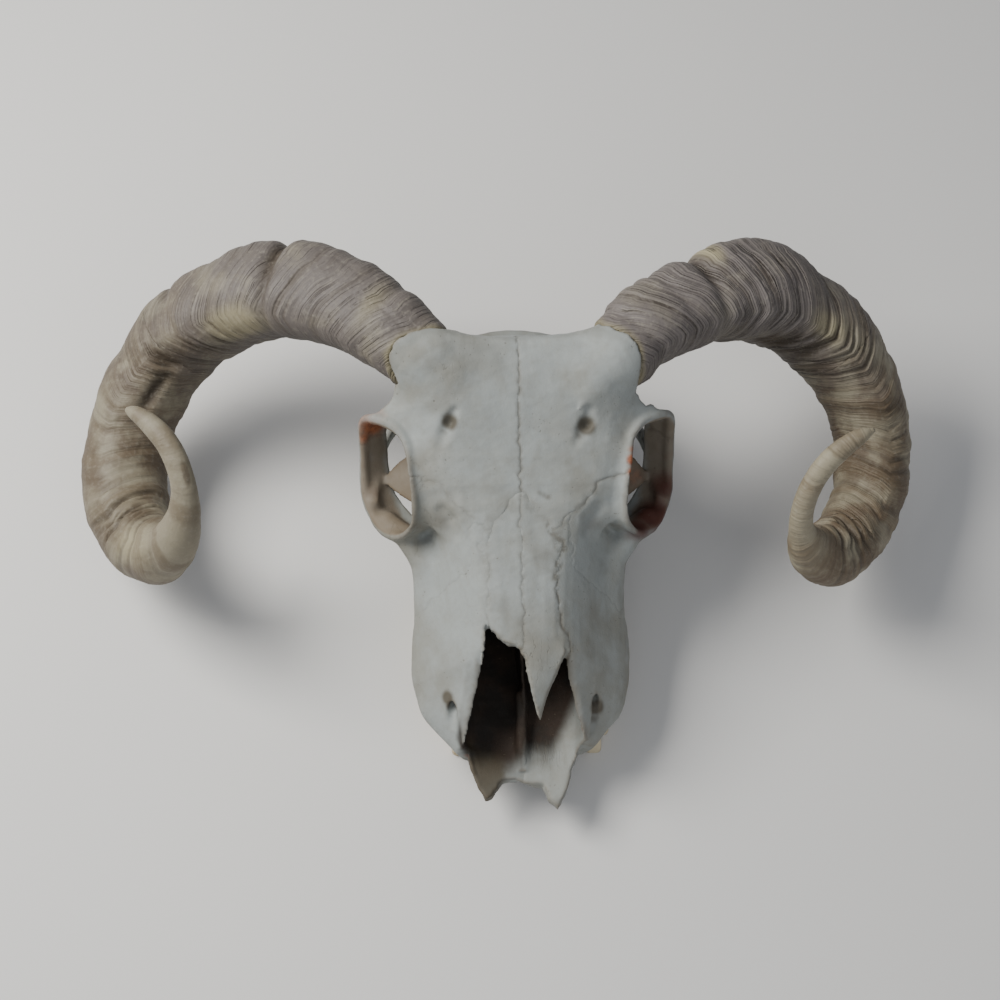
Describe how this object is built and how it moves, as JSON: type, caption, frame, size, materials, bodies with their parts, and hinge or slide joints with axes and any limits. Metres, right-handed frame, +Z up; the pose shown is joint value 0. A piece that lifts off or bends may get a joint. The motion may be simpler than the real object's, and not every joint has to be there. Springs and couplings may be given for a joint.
{
  "type": "ram skull",
  "caption": "Weathered skull of a ram with curled ridged horns, open eye sockets, a broken nasal bone and rows of cheek teeth, without the lower jaw.",
  "frame": {"origin": "the middle of the object's own box, on the surface that the skull lies on", "axes": "+X towards the animal's left, +Y from the muzzle to the back of the head, +Z up from the resting surface"},
  "size_m": [0.3756, 0.2386, 0.1277],
  "materials": {
    "bone": "dry, matt, weathered pale grey bone",
    "tooth": "worn tan enamel, slightly glossy",
    "horn": "dry ridged horn, satin grey-brown"
  },
  "bodies": {
    "root": {"frontal_left": "bone", "cheekbone_left": "bone", "maxilla_left": "bone", "nasal_left": "bone", "horn_left_base": "horn", "horn_left_bend": "horn", "horn_left_tip": "horn", "frontal_right": "bone", "cheekbone_right": "bone", "maxilla_right": "bone", "nasal_right": "bone", "horn_right_base": "horn", "horn_right_bend": "horn", "horn_right_tip": "horn", "braincase": "bone", "occipital": "bone"}
  },
  "joints": []
}
